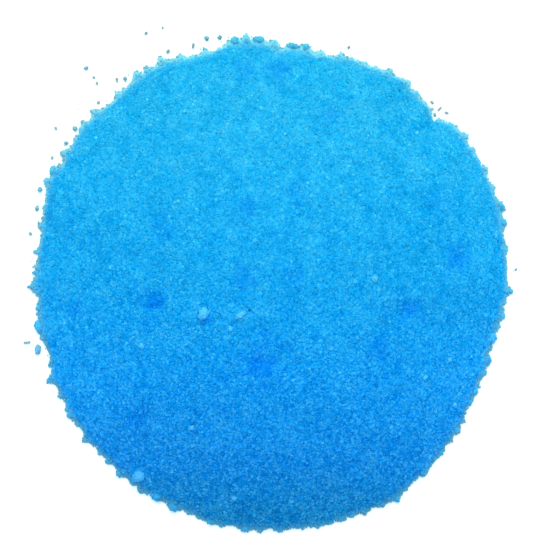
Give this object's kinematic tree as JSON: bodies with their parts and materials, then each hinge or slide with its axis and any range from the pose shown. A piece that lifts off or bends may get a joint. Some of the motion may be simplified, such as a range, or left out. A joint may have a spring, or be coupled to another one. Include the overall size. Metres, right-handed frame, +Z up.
{
  "type": "crystal heap",
  "caption": "Low round heap of fine translucent blue crystals with caked lumps, knobbly rim clumps and stray grains, lying on a flat surface.",
  "frame": {"origin": "centre of the heap's flat underside, on the surface it lies on", "axes": "+Z up, +X to the viewer's right and +Y to the back (the top of the picture)"},
  "size_m": [0.0969, 0.0993, 0.0184],
  "materials": {
    "crystal_bulk": "fine translucent azure grains, softly sparkling",
    "caked_lump": "paler caked grains, frosted",
    "rim_clump": "knots of translucent azure grains",
    "stray_grain": "single translucent crystals, blue-teal where light passes through"
  },
  "bodies": {
    "heap": {"bead_far_right": "caked_lump", "bead_front": "caked_lump", "bead_front_left": "caked_lump", "bead_front_right": "caked_lump", "bead_left": "caked_lump", "bead_left_of_centre": "caked_lump", "bead_right": "caked_lump", "crystal_heap": "crystal_bulk", "rim_clump_01": "rim_clump", "rim_clump_02": "rim_clump", "rim_clump_03": "rim_clump", "rim_clump_04": "rim_clump", "rim_clump_05": "rim_clump", "rim_clump_06": "rim_clump", "rim_clump_07": "rim_clump", "rim_clump_08": "rim_clump", "rim_clump_09": "rim_clump", "rim_clump_10": "rim_clump", "rim_clump_11": "rim_clump", "rim_clump_12": "rim_clump", "rim_clump_13": "rim_clump", "rim_clump_14": "rim_clump", "rim_clump_15": "rim_clump", "rim_clump_16": "rim_clump", "rim_clump_17": "rim_clump", "rim_clump_18": "rim_clump", "rim_clump_19": "rim_clump", "rim_clump_20": "rim_clump", "rim_clump_21": "rim_clump", "stray_crumb_01": "stray_grain", "stray_crumb_02": "stray_grain", "stray_crumb_03": "stray_grain", "stray_crumb_04": "stray_grain", "stray_crumb_05": "stray_grain", "stray_crumb_06": "stray_grain", "stray_crumb_07": "stray_grain", "stray_crumb_08": "stray_grain", "stray_crumb_09": "stray_grain", "stray_crystal_01": "stray_grain", "stray_crystal_02": "stray_grain", "stray_crystal_03": "stray_grain", "stray_crystal_04": "stray_grain", "stray_crystal_05": "stray_grain", "stray_crystal_06": "stray_grain", "stray_crystal_07": "stray_grain", "stray_crystal_08": "stray_grain", "stray_crystal_09": "stray_grain", "stray_crystal_10": "stray_grain", "stray_crystal_11": "stray_grain", "stray_crystal_12": "stray_grain", "stray_crystal_13": "stray_grain", "stray_crystal_14": "stray_grain", "stray_crystal_15": "stray_grain", "stray_crystal_16": "stray_grain", "stray_crystal_17": "stray_grain"},
    "lump_left_of_centre": {"lump_left_of_centre": "caked_lump"},
    "flake_at_centre": {"flake_at_centre": "caked_lump"},
    "lump_front_left": {"lump_front_left": "caked_lump"},
    "lump_right_of_centre": {"lump_right_of_centre": "caked_lump"}
  },
  "joints": [
    {"name": "lump_left_of_centre_lift", "type": "slide", "parent": "heap", "child": "lump_left_of_centre", "axis": [0, 0, 1], "range_m": [0, 0.02]},
    {"name": "flake_at_centre_lift", "type": "slide", "parent": "heap", "child": "flake_at_centre", "axis": [0, 0, 1], "range_m": [0, 0.02]},
    {"name": "lump_front_left_lift", "type": "slide", "parent": "heap", "child": "lump_front_left", "axis": [0, 0, 1], "range_m": [0, 0.02]},
    {"name": "lump_right_of_centre_lift", "type": "slide", "parent": "heap", "child": "lump_right_of_centre", "axis": [0, 0, 1], "range_m": [0, 0.02]}
  ]
}
